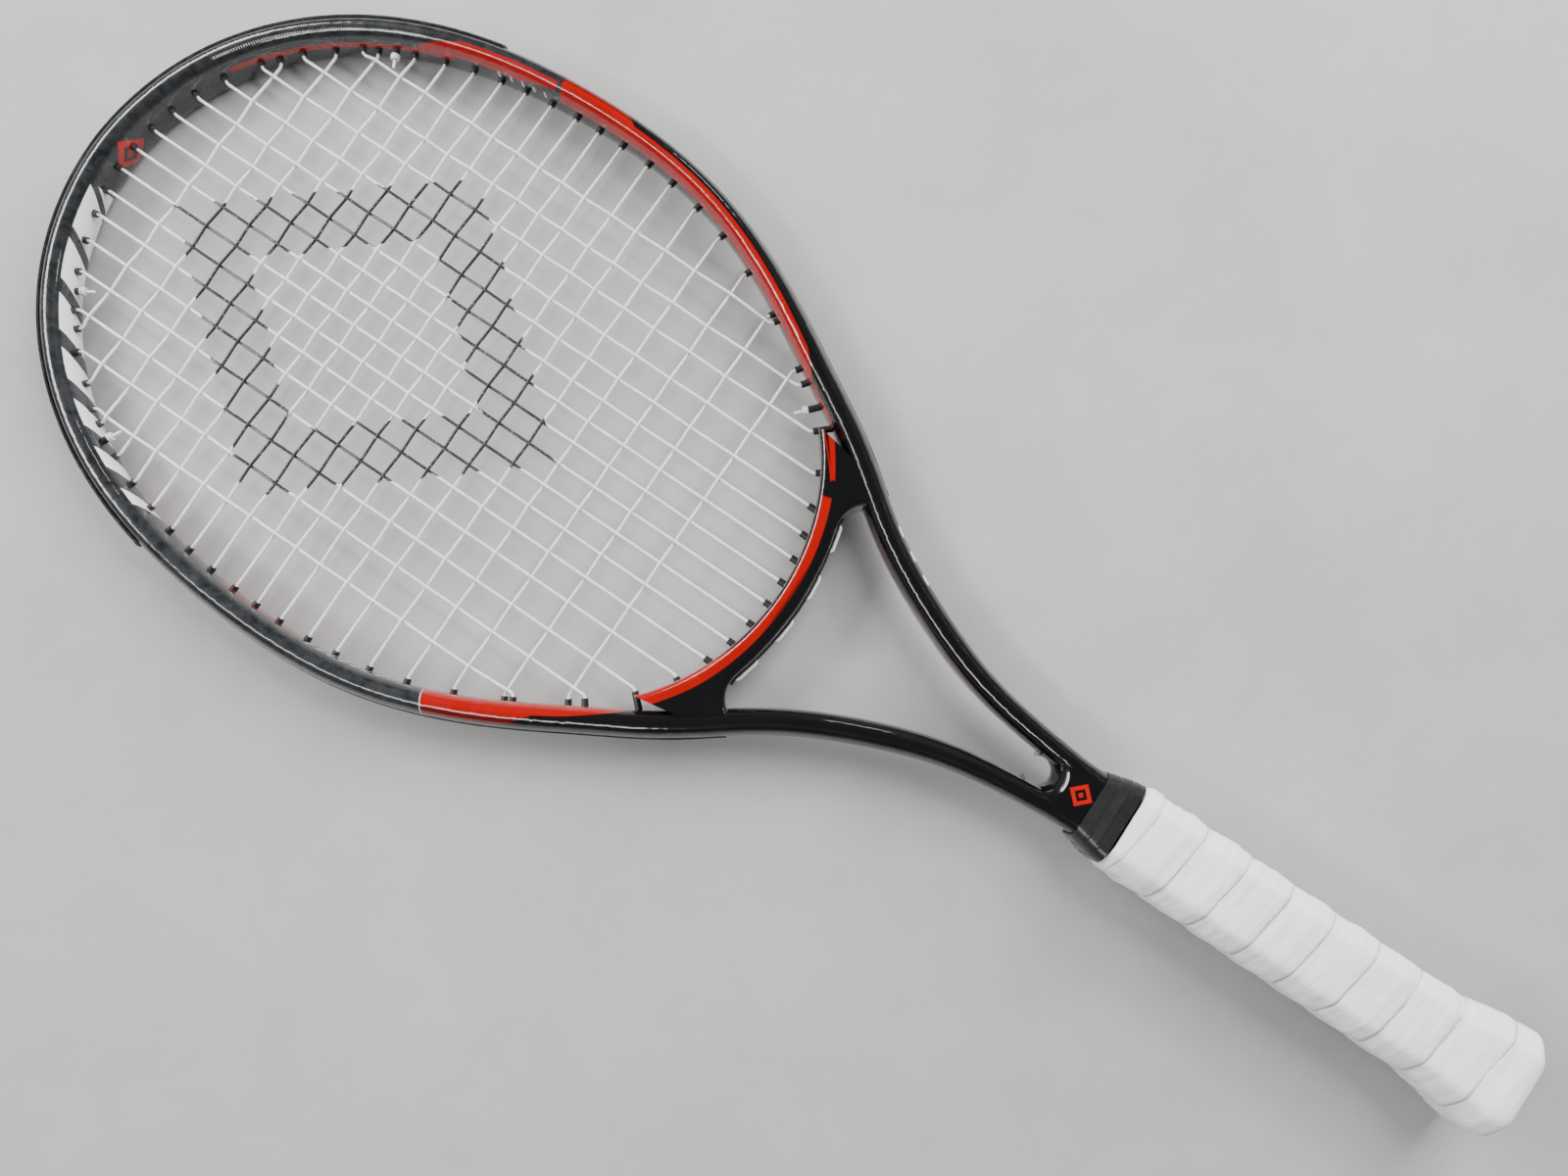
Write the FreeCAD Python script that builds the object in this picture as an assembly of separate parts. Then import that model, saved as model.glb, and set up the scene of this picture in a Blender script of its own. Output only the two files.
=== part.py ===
import FreeCAD, Part
import math
import os

V = FreeCAD.Vector

# Tennis racket, millimetres. The butt end is at Y = 0 and the tip at Y = 685.
# The string bed lies in the plane Z = 0 and X runs across the head.

# Driving dimensions
overall_length = 685.0
hoop_half_width = 5.2
arm_half_width = 5.6
fork_half_width = 4.9
shaft_half_width = 13.8
shaft_half_height = 10.0
beam_half_height = 10.6
wall = 1.8

groove_depth = 2.8
groove_half_height = 3.0
groove_end_y = 331.0
strip_gap = 0.08
strip_base = 0.9
bond_gap = 0.08
lane_half_height = 1.95

string_diameter = 1.27
weave_height = 0.69
weave_radius = 6.0
turn_radius = 1.6
lane_below_surface = 0.75
hole_offset = 0.76
barrel_radius = 1.45
barrel_bore = 0.86
barrel_stand = 1.8
bridge_barrel_stand = 3.2
mouth_gap = 1.2
tail_length = 5.0
drill_clearance = 0.12

collar_low_y = 180.5
handle_half_width = 15.9
handle_half_height = 13.9
handle_corner = 5.2
handle_low_y = 4.0
handle_top_y = 176.0
cap_top_y = 34.0
cap_wall = 3.2
base_grip_lift = 0.1
base_grip_thickness = 1.85
overgrip_lift = 2.2
overgrip_thickness = 0.6
grip_top_y = 180.0

# Butt cap outline: height up the handle and half width across the racket
cap_profile = [(0.0, 15.8), (2.5, 18.8), (6.0, 20.0), (11.0, 20.3), (20.0, 18.8), (34.0, 16.2)]

# String places: distance of each main from the centre line, and each cross up the Y axis
main_places = [5.2, 15.8, 26.4, 37.6, 49.8, 63.5, 76.9, 93.6]
cross_places = [644.4, 627.6, 612.9, 599.2, 587.0, 574.8, 562.6, 551.4, 539.2, 527.0,
                515.8, 504.1, 490.4, 477.7, 463.0, 447.7, 429.9, 411.6, 389.8]

# Inner wall of the hoop, right side, from the tip round to the middle of the bridge
hoop_wall_points = [(0, 673.3), (51.9, 660.0), (91.5, 624.7), (113.2, 579.4), (121.1, 536.1),
                    (122.1, 498.9), (118.4, 466.2), (109.5, 436.9), (96.9, 410.3),
                    (81.2, 385.0), (60.1, 362.5), (32.2, 347.6), (0, 342.4)]

# Throat side of the bridge, from its middle out to the right arm
bridge_face_points = [(0, 332.8), (16, 334.0), (30, 336.6), (41, 338.4), (47.5, 335.5), (51, 329)]

# Middle of the frame tube, right side, from the tip down the arm and the shaft
tube_points = [(0, 678.5), (54.4, 664.5), (95.7, 627.7), (118.2, 580.9), (126.2, 536.6),
               (127.3, 498.7), (123.5, 465.2), (114.3, 434.9), (101.5, 407.8), (85.4, 379.5),
               (66.4, 348.0), (46.3, 320.5), (33.1, 297.5), (24.1, 277.2), (18.1, 260.2),
               (13.9, 242.2), (11.6, 226.8), (10.2, 212.4), (8.9, 198.0), (8.5, 184.0)]


def curve_through(points, round_start=False, round_end=False):
    """Smooth curve in the string plane through the points.

    A rounded end carries on as its mirror image past the centre line."""
    places = [V(x, y, 0) for x, y in points]
    if round_start:
        places.insert(0, V(-places[1].x, places[1].y, 0))
    if round_end:
        places.append(V(-places[-2].x, places[-2].y, 0))
    curve = Part.BSplineCurve()
    curve.interpolate(Points=places)
    start = V(*points[0], 0)
    end = V(*points[-1], 0)
    curve.segment(curve.parameter(start), curve.parameter(end))
    return curve


hoop_wall = curve_through(hoop_wall_points, round_start=True, round_end=True)
bridge_face = curve_through(bridge_face_points, round_start=True)
tube_line = curve_through(tube_points, round_start=True)


def blend(value, low, high, at_low, at_high):
    """Smooth step from at_low to at_high as value goes from low to high."""
    share = min(1.0, max(0.0, (value - low) / (high - low)))
    share = share * share * (3 - 2 * share)
    return at_low + (at_high - at_low) * share


def tube_half_width(y):
    if y < 290:
        return blend(y, 212, 290, fork_half_width, arm_half_width)
    return blend(y, 385, 450, arm_half_width, hoop_half_width)


def tube_half_height(y):
    return blend(y, 200, 330, shaft_half_height - 0.4, beam_half_height)


class Station:
    """A place along the tube's middle line, with its outward direction."""

    def __init__(self, parameter):
        self.point = tube_line.value(parameter)
        along = tube_line.tangent(parameter)[0].normalize()
        if abs(self.point.x) < 0.001:
            # square to the centre line at the tip
            self.point.x = 0
            along = V(1, 0, 0)
        self.out = V(-along.y, along.x, 0)
        self.half_width = tube_half_width(self.point.y)
        self.half_height = tube_half_height(self.point.y)

    def place(self, outward, height):
        return self.point + self.out * outward + V(0, 0, height)


def stations(count, start=None, end=None):
    first = tube_line.FirstParameter if start is None else start
    last = tube_line.LastParameter if end is None else end
    return [Station(first + (last - first) * i / (count - 1)) for i in range(count)]


def ring(station, low, high, half_height, power, count=12):
    """Closed rounded outline across the tube, from low to high outward."""
    middle = (low + high) / 2
    half = (high - low) / 2
    points = []
    for i in range(count):
        angle = 2 * math.pi * (i + 0.5) / count
        c, s = math.cos(angle), math.sin(angle)
        across = half * math.copysign(abs(c) ** (2 / power), c)
        up = half_height * math.copysign(abs(s) ** (2 / power), s)
        points.append(station.place(middle + across, up))
    outline = Part.BSplineCurve()
    outline.interpolate(Points=points, PeriodicFlag=True)
    return Part.Wire(outline.toShape())


def polygon(points):
    return Part.makePolygon(list(points) + [points[0]])


def mirrored(shape):
    return shape.mirror(V(0, 0, 0), V(1, 0, 0))


def right_half(shape):
    """The part of a shape at X > 0."""
    return shape.common(Part.makeBox(200, 800, 100, V(0, -50, -50)))


def one_solid(shape):
    """The largest solid of a result."""
    return max(shape.Solids, key=lambda solid: solid.Volume)


def parameter_at_y(y):
    """Place on the tube line, below its widest part, at height y."""
    low = tube_line.parameter(V(127, 500, 0))
    high = tube_line.LastParameter
    for step in range(40):
        middle = (low + high) / 2
        if tube_line.value(middle).y > y:
            low = middle
        else:
            high = middle
    return (low + high) / 2


groove_end = parameter_at_y(groove_end_y)
bumper_end = tube_line.parameter(V(122.2, 566, 0))


# The hoop's holes

def bisect(test, low, high):
    """Where a test that is true at low turns false."""
    for step in range(50):
        middle = (low + high) / 2
        if test(middle):
            low = middle
        else:
            high = middle
    return (low + high) / 2


class Hole:
    """A string hole from the hoop wall out to the groove, or through the bridge.

    The string's run inside the hoop meets the hole's line at corner."""

    def __init__(self, parameter, side, height, on_bridge=False):
        on_wall = hoop_wall.value(parameter)
        along = hoop_wall.tangent(parameter)[0].normalize()
        out = V(-along.y, along.x, 0)
        if out.dot(on_wall - V(0, 500, 0)) < 0:
            out = out * -1
        if on_bridge:
            out = V(0, -1, 0)
            depth = on_wall.y - bridge_height(on_wall.x)
            self.lane_depth = depth + strip_gap + strip_base + 0.1 + string_diameter / 2
            self.base_depth = depth + strip_gap + strip_base
        else:
            depth = self.depth_to_face(on_wall, out)
            self.lane_depth = depth - lane_below_surface
            self.base_depth = depth - groove_depth + strip_gap + strip_base
        self.on_bridge = on_bridge
        self.side = side
        self.depth = depth
        self.out = V(out.x * side, out.y, 0)
        self.mouth = V(on_wall.x * side, on_wall.y, height)
        self.stand = bridge_barrel_stand if on_bridge else barrel_stand
        self.corner = self.mouth - self.out * (self.stand + mouth_gap)
        self.lane_point = self.mouth + self.out * self.lane_depth

    def depth_to_face(self, start, out):
        """Distance along the hole to the outer face of the tube."""
        depth = 10.0
        for step in range(60):
            place = start + out * depth
            station = Station(tube_line.parameter(place))
            miss = station.half_width - (place - station.point).dot(station.out)
            depth = depth + miss * 0.7
            if abs(miss) < 0.002:
                break
        return depth


def bridge_height(x):
    """Y of the bridge's throat side at x."""
    parameter = bisect(lambda u: bridge_face.value(u).x < x,
                       bridge_face.FirstParameter, bridge_face.LastParameter)
    return bridge_face.value(parameter).y


def wall_corner(parameter):
    """Where a string through this place of the wall meets its run, right side."""
    point = hoop_wall.value(parameter)
    along = hoop_wall.tangent(parameter)[0].normalize()
    out = V(-along.y, along.x, 0)
    if out.dot(point - V(0, 500, 0)) < 0:
        out = out * -1
    return point - out * (barrel_stand + mouth_gap)


widest = bisect(lambda u: hoop_wall.tangent(u)[0].x > 0,
                hoop_wall.FirstParameter, hoop_wall.LastParameter)


def upper_wall(x):
    return bisect(lambda u: wall_corner(u).x < x, hoop_wall.FirstParameter, widest)


def lower_wall(x):
    return bisect(lambda u: wall_corner(u).x > x, widest, hoop_wall.LastParameter)


def wall_beside(y):
    return bisect(lambda u: wall_corner(u).y > y,
                  hoop_wall.FirstParameter, hoop_wall.LastParameter)


sides = (1, -1)
bridge_mains = 4
main_tops = {}
main_bottoms = {}
cross_ends = {}
for side in sides:
    for index, x in enumerate(main_places):
        # the outermost main bows in a little at its ends
        end_x = x - 1.2 if index == 7 else x
        main_tops[side, index] = Hole(upper_wall(end_x), side, hole_offset)
        if index < bridge_mains:
            bottom = bisect(lambda u: hoop_wall.value(u).x > x, widest,
                            hoop_wall.LastParameter)
            main_bottoms[side, index] = Hole(bottom, side, hole_offset, on_bridge=True)
        else:
            main_bottoms[side, index] = Hole(lower_wall(end_x), side, hole_offset)
    for row, y in enumerate(cross_places):
        cross_ends[side, row] = Hole(wall_beside(y), side, -hole_offset)

# Tie-off holes: two for the ends of the mains and two for the ends of the crosses
main_ties = {side: Hole(wall_beside(606.0), side, hole_offset) for side in sides}
cross_start_tie = Hole(upper_wall(56.6), -1, -hole_offset)
cross_end_tie = Hole(lower_wall(70.2), 1, -hole_offset)
all_holes = (list(main_tops.values()) + list(main_bottoms.values()) + list(cross_ends.values())
             + list(main_ties.values()) + [cross_start_tie, cross_end_tie])


# String routes

def rounded_route(points, radii):
    """Straight runs joined by tangent arcs."""
    edges = []
    previous = points[0]
    for i in range(1, len(points) - 1):
        corner = points[i]
        back = points[i - 1] - corner
        ahead = points[i + 1] - corner
        room = 0.46 * min(back.Length, ahead.Length)
        back.normalize()
        ahead.normalize()
        turn = math.pi - back.getAngle(ahead)
        if turn < 1e-3:
            continue
        radius = min(radii[i], room / math.tan(turn / 2))
        reach = radius * math.tan(turn / 2)
        start = corner + back * reach
        end = corner + ahead * reach
        inward = (back + ahead).normalize()
        middle = corner + inward * (radius / math.cos(turn / 2) - radius)
        if (start - previous).Length > 1e-5:
            edges.append(Part.LineSegment(previous, start).toShape())
        edges.append(Part.Arc(start, middle, end).toShape())
        previous = end
    edges.append(Part.LineSegment(previous, points[-1]).toShape())
    return Part.Wire(edges)


def string_solid(route):
    start = route.OrderedEdges[0]
    direction = start.tangentAt(start.FirstParameter)
    circle = Part.makeCircle(string_diameter / 2, start.valueAt(start.FirstParameter), direction)
    return route.makePipeShell([Part.Wire(circle)], True, False)


class Route:
    """Corner points of a string, in order, each with its bend radius."""

    def __init__(self):
        self.points = []
        self.radii = []

    def add(self, point, radius):
        self.points.append(point)
        self.radii.append(radius)

    def enter(self, hole):
        """From the groove through the hole into the hoop."""
        self.add(hole.lane_point, turn_radius)
        self.add(hole.corner, 3.0)

    def leave(self, hole):
        self.add(hole.corner, 3.0)
        self.add(hole.lane_point, turn_radius)

    def start_at(self, tie):
        self.add(tie.corner - tie.out * tail_length, 1.0)
        self.add(tie.lane_point, turn_radius)

    def end_at(self, tie):
        self.add(tie.lane_point, turn_radius)
        self.add(tie.corner - tie.out * tail_length, 1.0)

    def solid(self):
        return string_solid(rounded_route(self.points, self.radii))


def column_number(side, index):
    """Mains are counted 0 to 15 from the left."""
    return 8 + index if side > 0 else 7 - index


def weave_sign(column, row):
    return 1 if (column + row) % 2 else -1


def weave_point(x, y, sign):
    return V(x, y, sign * (weave_height + 0.04))


def crossed_rows(side, index):
    """Rows that a main crosses inside the hoop."""
    top = main_tops[side, index].corner.y - 1.0
    bottom = main_bottoms[side, index].corner.y + 1.0
    reach = main_places[index] + 1.0
    return [row for row, y in enumerate(cross_places)
            if bottom < y < top and abs(cross_ends[side, row].corner.x) > reach]


def add_main(route, side, index, downward):
    top = main_tops[side, index]
    bottom = main_bottoms[side, index]
    rows = crossed_rows(side, index)
    if not downward:
        rows = rows[::-1]
    column = column_number(side, index)
    route.enter(top if downward else bottom)
    for row in rows:
        point = weave_point(side * main_places[index], cross_places[row],
                            weave_sign(column, row))
        route.add(point, weave_radius)
    route.leave(bottom if downward else top)


def main_string():
    """One string: tied at the left, in by the outermost left main, tied again at the right."""
    route = Route()
    route.start_at(main_ties[-1])
    for index in range(7, -1, -1):
        add_main(route, -1, index, downward=index % 2 == 1)
    for index in range(8):
        add_main(route, 1, index, downward=index % 2 == 0)
    route.end_at(main_ties[1])
    return route.solid()


def cross_string():
    """One string from the top row to the bottom row, turning at alternate sides."""
    route = Route()
    route.start_at(cross_start_tie)
    for row, y in enumerate(cross_places):
        first = -1 if row % 2 == 0 else 1
        crossings = sorted((side * main_places[index], column_number(side, index))
                           for side in sides for index in range(8)
                           if row in crossed_rows(side, index))
        if first == 1:
            crossings = crossings[::-1]
        route.enter(cross_ends[first, row])
        for x, column in crossings:
            route.add(weave_point(x, y, -weave_sign(column, row)), weave_radius)
        route.leave(cross_ends[-first, row])
    route.end_at(cross_end_tie)
    return route.solid()


def tie_knots():
    """Two snug turns of string round each tied end, just inside the hoop."""
    knots = []
    radius = string_diameter / 2
    for hole in list(main_ties.values()) + [cross_start_tie, cross_end_tie]:
        inner_end = hole.mouth - hole.out * (hole.stand + 0.1 + radius)
        knot = None
        for turn in range(2):
            centre = inner_end - hole.out * turn * 1.15
            ring_solid = Part.makeTorus(2 * radius + 0.06, radius, centre, hole.out)
            knot = ring_solid if knot is None else knot.fuse(ring_solid)
        knots.append(knot)
    return Part.makeCompound(knots)


# Frame

def tube_skin():
    rings = [ring(s, -s.half_width, s.half_width, s.half_height, 2.7) for s in stations(32)]
    return Part.makeLoft(rings, True, False)


def tube_hollow():
    """The air space; under the groove its outer side stands further in."""
    rings = []
    for s in stations(32):
        outer_wall = blend(s.point.y, groove_end_y - 22, groove_end_y - 4, wall,
                           groove_depth + 0.9)
        rings.append(ring(s, -s.half_width + wall, s.half_width - outer_wall,
                          s.half_height - wall - 0.2, 2.4))
    return Part.makeLoft(rings, True, False)


def groove_loft(first, last, count, low, high, half_height):
    """Square-sided loft; low and high are measured in from the tube's outer face."""
    rings = []
    for station in stations(count, first, last):
        a = station.half_width - low
        b = station.half_width - high
        corners = [(a, -half_height), (b, -half_height), (b, half_height), (a, half_height)]
        rings.append(polygon([station.place(o, h) for o, h in corners]))
    return Part.makeLoft(rings, True, False)


def rounded_block(half_width, half_height, radius, y):
    """Rounded rectangle across the handle at height y."""
    w, h, r = half_width, half_height, radius
    k = r * (1 - math.sqrt(0.5))
    points = []
    edges = []
    corners = [(w, h), (-w, h), (-w, -h), (w, -h)]
    turns = [((0, -1), (-1, 0)), ((1, 0), (0, -1)), ((0, 1), (1, 0)), ((-1, 0), (0, 1))]
    previous = None
    first = None
    for (cx, cz), ((ax, az), (bx, bz)) in zip(corners, turns):
        start = V(cx + ax * r, y, cz + az * r)
        end = V(cx + bx * r, y, cz + bz * r)
        middle = V(cx + (ax + bx) * k, y, cz + (az + bz) * k)
        if previous is not None:
            edges.append(Part.LineSegment(previous, start).toShape())
        else:
            first = start
        edges.append(Part.Arc(start, middle, end).toShape())
        previous = end
    edges.append(Part.LineSegment(previous, first).toShape())
    return Part.Wire(edges)


def octagon(half_width, half_height, cut, y):
    """Handle outline across the racket at height y, corners cut by the same share."""
    w, h = half_width, half_height
    c = cut
    corners = [(w, h - c), (w - c, h), (c - w, h), (-w, h - c),
               (-w, c - h), (c - w, -h), (w - c, -h), (w, c - h)]
    return polygon([V(x, y, z) for x, z in corners])


channel_half_width = 5.1
channel_half_height = shaft_half_height - wall
channel_middle = 6.9


def shaft_block():
    low = handle_low_y + 4
    straight = Part.Face(rounded_block(shaft_half_width, shaft_half_height, 5.5, low))
    straight = straight.extrude(V(0, 188 - low, 0))
    sections = [(188, shaft_half_width, shaft_half_height, 5.5),
                (199, shaft_half_width + 0.1, shaft_half_height - 0.1, 5.5),
                (210, shaft_half_width - 0.2, shaft_half_height - 0.9, 5.5),
                (221, shaft_half_width - 2.0, shaft_half_height - 3.0, 5.5)]
    throat = Part.makeLoft([rounded_block(w, h, r, y) for y, w, h, r in sections], True, False)
    body = straight.fuse(throat)
    # the fork between the arms is a round scoop, wider at both faces
    scoop_radius = 5.6
    scoop_spread = 10.0
    points = [V(0, 0, -11), V(scoop_radius + scoop_spread, 0, -11), V(scoop_radius, 0, 0),
              V(scoop_radius + scoop_spread, 0, 11), V(0, 0, 11)]
    arc = Part.Arc(points[1], points[2], points[3]).toShape()
    profile = Part.Wire([Part.LineSegment(points[0], points[1]).toShape(), arc,
                         Part.LineSegment(points[3], points[4]).toShape(),
                         Part.LineSegment(points[4], points[0]).toShape()])
    scoop = Part.Face(profile).revolve(V(0, 0, 0), V(0, 0, 1), 360)
    scoop.translate(V(0, 217.2, 0))
    return body.cut(scoop)


def drill(hole, radius, start, end):
    """Round cutter along a hole, from start to end measured outward from its mouth."""
    return Part.makeCylinder(radius, end - start, hole.mouth + hole.out * start, hole.out)


def frame_hairpin():
    groove = groove_loft(tube_line.FirstParameter, groove_end, 34, groove_depth, -4,
                         groove_half_height)
    half = right_half(tube_skin().fuse(shaft_block()))
    half = half.cut(right_half(tube_hollow()))
    channel = Part.Face(rounded_block(channel_half_width, channel_half_height, 3.5, 0))
    channel = channel.extrude(V(0, 186, 0))
    channel.translate(V(channel_middle, 0, 0))
    half = half.cut(channel)
    half = half.cut(right_half(groove))
    right = one_solid(half)
    left = one_solid(mirrored(half))
    cutters = {}
    for side in (1, -1):
        cutters[side] = [drill(h, barrel_radius + drill_clearance, -6, h.depth + 3)
                         for h in all_holes if h.side == side and not h.on_bridge]
    right = right.cut(cutters[1])
    left = left.cut(cutters[-1])
    return one_solid(right.fuse(left))


def throat_bridge():
    """Curved bridge between the arms; its upper face carries on the hoop wall."""
    half_height = beam_half_height - 0.7
    first = hoop_wall.parameter(V(66, 367, 0))
    upper = Part.Edge(hoop_wall, first, hoop_wall.LastParameter)
    lower = bridge_face.toShape()
    corner = bridge_face.value(bridge_face.LastParameter)
    start = hoop_wall.value(first)
    inside_tube = V(61, 341, 0)
    edges = [upper, lower,
             Part.LineSegment(hoop_wall.value(hoop_wall.LastParameter),
                              bridge_face.value(bridge_face.FirstParameter)).toShape(),
             Part.LineSegment(corner, inside_tube).toShape(),
             Part.LineSegment(inside_tube, start).toShape()]
    face = Part.Face(Part.Wire(Part.sortEdges(edges)[0]))
    half = face.extrude(V(0, 0, 2 * half_height))
    half.translate(V(0, 0, -half_height))
    half = round_long_edges(half, 2.6)
    grown = [ring(s, -s.half_width - bond_gap, s.half_width + bond_gap,
                  s.half_height + bond_gap, 2.7)
             for s in stations(32) if 265 < s.point.y < 440]
    half = one_solid(half.cut(Part.makeLoft(grown, True, False)))
    block = one_solid(half.fuse(mirrored(half)).removeSplitter())
    holes = [drill(h, barrel_radius + drill_clearance, -6, h.depth + 6)
             for h in all_holes if h.mouth.y < 375]
    return one_solid(block.cut(holes))


def round_long_edges(block, radius):
    """Rounds the front and back edges that run along the bridge."""
    top = block.BoundBox.ZMax
    bottom = block.BoundBox.ZMin
    edges = [e for e in block.Edges
             if e.Length > 45 and (abs(e.Vertexes[0].Z - top) < 0.01
                                   or abs(e.Vertexes[0].Z - bottom) < 0.01)
             and abs(e.Vertexes[0].Z - e.Vertexes[-1].Z) < 0.01]
    return block.makeFillet(radius, edges)


# Grommet strips

def strip_outline(station, rail, wing):
    """Outline of a grommet strip across the groove; rail is how far it stands out."""
    floor = -groove_depth + strip_gap
    side = groove_half_height - strip_gap
    base_top = floor + strip_base
    if wing:
        edge = [(floor, side), (0.15, side), (-0.2, 6.0), (-0.78, 8.1), (-0.15, 8.8),
                (rail - 0.6, 7.0), (rail, 4.8), (rail, lane_half_height),
                (base_top, lane_half_height)]
    else:
        edge = [(floor, side), (rail, side), (rail, lane_half_height),
                (base_top, lane_half_height)]
    points = edge + [(o, -h) for o, h in reversed(edge)]
    return polygon([station.place(station.half_width + o, h) for o, h in points])


def with_barrels(strip, holes):
    """Adds a barrel for each hole, then bores them all."""
    barrels = []
    bores = []
    for hole in holes:
        barrels.append(drill(hole, barrel_radius, -hole.stand, hole.base_depth - 0.3))
        bores.append(drill(hole, barrel_bore, -hole.stand - 2, hole.base_depth + 0.6))
    return one_solid(strip.fuse(barrels).cut(bores))


def bumper_strip():
    """Head guard: a grommet strip with wings that cover the outside of the tip."""
    rail = overall_length - (tube_points[0][1] + hoop_half_width)
    outlines = [strip_outline(s, rail, True)
                for s in stations(22, tube_line.FirstParameter, bumper_end)]
    half = Part.makeLoft(outlines, True, False)
    strip = one_solid(half.fuse(mirrored(half)))
    end_y = tube_line.value(bumper_end).y
    return with_barrels(strip, [h for h in all_holes if h.lane_point.y > end_y])


def side_strip(side):
    start = tube_line.parameter(tube_line.value(bumper_end) + V(0, -1.0, 0))
    end = parameter_at_y(groove_end_y + 0.4)
    outlines = [strip_outline(s, 0.5, False) for s in stations(24, start, end)]
    strip = Part.makeLoft(outlines, True, False)
    if side < 0:
        strip = mirrored(strip)
    end_y = tube_line.value(bumper_end).y
    holes = [h for h in all_holes
             if h.side == side and not h.on_bridge and h.lane_point.y <= end_y]
    return with_barrels(strip, holes)


def bridge_strip():
    """Grommet strip on the throat side of the bridge."""
    reach = 40.5
    places = [reach * step / 14 for step in range(-14, 15)]
    upper = curve_through([(x, bridge_height(abs(x)) - strip_gap) for x in places])
    lower = curve_through([(x, bridge_height(abs(x)) - strip_gap - strip_base) for x in places])
    ends = [Part.LineSegment(upper.value(u), lower.value(u)).toShape()
            for u in (upper.FirstParameter, upper.LastParameter)]
    wire = Part.Wire(Part.sortEdges([upper.toShape(), lower.toShape()] + ends)[0])
    plate = Part.Face(wire).extrude(V(0, 0, 6.4))
    plate.translate(V(0, 0, -3.2))
    return with_barrels(plate, [h for h in all_holes if h.on_bridge])


# Handle

def cap_half_width(y):
    """Half width of the bare handle and its butt cap."""
    for (y0, w0), (y1, w1) in zip(cap_profile, cap_profile[1:]):
        if y0 <= y <= y1:
            return w0 + (w1 - w0) * (y - y0) / (y1 - y0)
    return blend(y, cap_top_y, 42, cap_profile[-1][1], handle_half_width)


def half_height_for(half_width):
    """The handle flares a little less in height than in width."""
    return handle_half_height + 0.75 * (half_width - handle_half_width)


def handle_outline(y, lift, squeeze=0.0):
    half_width = cap_half_width(y) + lift - squeeze
    half_height = half_height_for(cap_half_width(y)) + lift - squeeze
    corner = handle_corner * half_width / handle_half_width
    return octagon(half_width, half_height, corner, y)


def sleeve(heights, lift, squeezes=None):
    squeezes = squeezes or {}
    outlines = [handle_outline(y, lift, squeezes.get(y, 0.0)) for y in heights]
    return Part.makeLoft(outlines, True, True)


def handle_core():
    length = handle_top_y - handle_low_y
    outline = octagon(handle_half_width, handle_half_height, handle_corner, handle_low_y)
    body = Part.Face(outline).extrude(V(0, length, 0))
    gap = 0.1
    slot = rounded_block(shaft_half_width + gap, shaft_half_height + gap, 5.6, 0)
    slot = Part.Face(slot).extrude(V(0, 200, 0))
    return body.cut(slot).cut(staple_legs(0.06))


def pallet(side):
    """Front or back half of the moulded handle."""
    low = 0.04 if side > 0 else -60
    room = Part.makeBox(100, 250, 59.96, V(-50, 0, low))
    return one_solid(handle_core().common(room))


staple_y = 25.0
staple_reach = 4.0


def staple(side, grow):
    """U-shaped staple through the cap into a pallet; side is +1 at the front."""
    level = half_height_for(cap_half_width(staple_y)) - 0.75
    crown = Part.makeBox(2 * staple_reach + 2 * grow, 1.0 + 2 * grow, 0.6 + 5 * grow,
                         V(-staple_reach - grow, staple_y - 0.5 - grow, level - grow))
    legs = []
    for x in (-staple_reach, staple_reach - 0.8):
        leg = Part.makeBox(0.8 + 2 * grow, 1.0 + 2 * grow, 4.9,
                           V(x - grow, staple_y - 0.5 - grow, level - 4.3 - grow))
        legs.append(leg)
    shape = crown.fuse(legs).removeSplitter()
    if side < 0:
        shape = shape.mirror(V(0, 0, 0), V(0, 0, 1))
    return shape


def staple_legs(grow):
    return Part.makeCompound([staple(1, grow), staple(-1, grow)])


door_half_width = 10.2
door_half_height = 7.6
door_thickness = 2.2
door_clearance = 0.3


def butt_cap():
    heights = [y for y, w in cap_profile]
    outlines = [handle_outline(y, 0) for y in heights]
    body = Part.makeLoft(outlines, True, True)
    gap = 0.1
    cup = octagon(handle_half_width + gap, handle_half_height + gap, handle_corner, cap_wall)
    body = body.cut(Part.Face(cup).extrude(V(0, heights[-1], 0)))
    recess = rounded_block(door_half_width + door_clearance, door_half_height + door_clearance,
                           2.5, -1)
    body = body.cut(Part.Face(recess).extrude(V(0, 1 + door_thickness + door_clearance, 0)))
    window = rounded_block(door_half_width - 2.2, door_half_height - 2.2, 1.5, -1)
    body = body.cut(Part.Face(window).extrude(V(0, 10, 0)))
    slots = Part.makeCompound([staple(1, 0.06), staple(-1, 0.06)])
    sink = half_height_for(cap_half_width(staple_y)) - 0.8
    lift = Part.makeCompound([Part.makeBox(8.12, 1.12, 3, V(-4.06, staple_y - 0.56, sink)),
                              Part.makeBox(8.12, 1.12, 3, V(-4.06, staple_y - 0.56, -sink - 3))])
    return one_solid(body.cut(slots).cut(lift))


def butt_door():
    """Small cover in the end of the cap with a raised ring and two snap prongs."""
    plate = Part.Face(rounded_block(door_half_width, door_half_height, 2.2, 0.2))
    plate = plate.extrude(V(0, door_thickness - 0.2, 0))
    dish = Part.makeCylinder(4.6, 0.5, V(0, 0, 0), V(0, 1, 0))
    stud = Part.makeCylinder(3.0, 0.6, V(0, 0.1, 0), V(0, 1, 0))
    plate = plate.cut(dish).fuse(stud)
    prongs = []
    for x in (-7.4, 6.2):
        prongs.append(Part.makeBox(1.2, 5.0, 6, V(x, door_thickness - 0.5, -3)))
    return one_solid(plate.fuse(prongs).removeSplitter())


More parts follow.
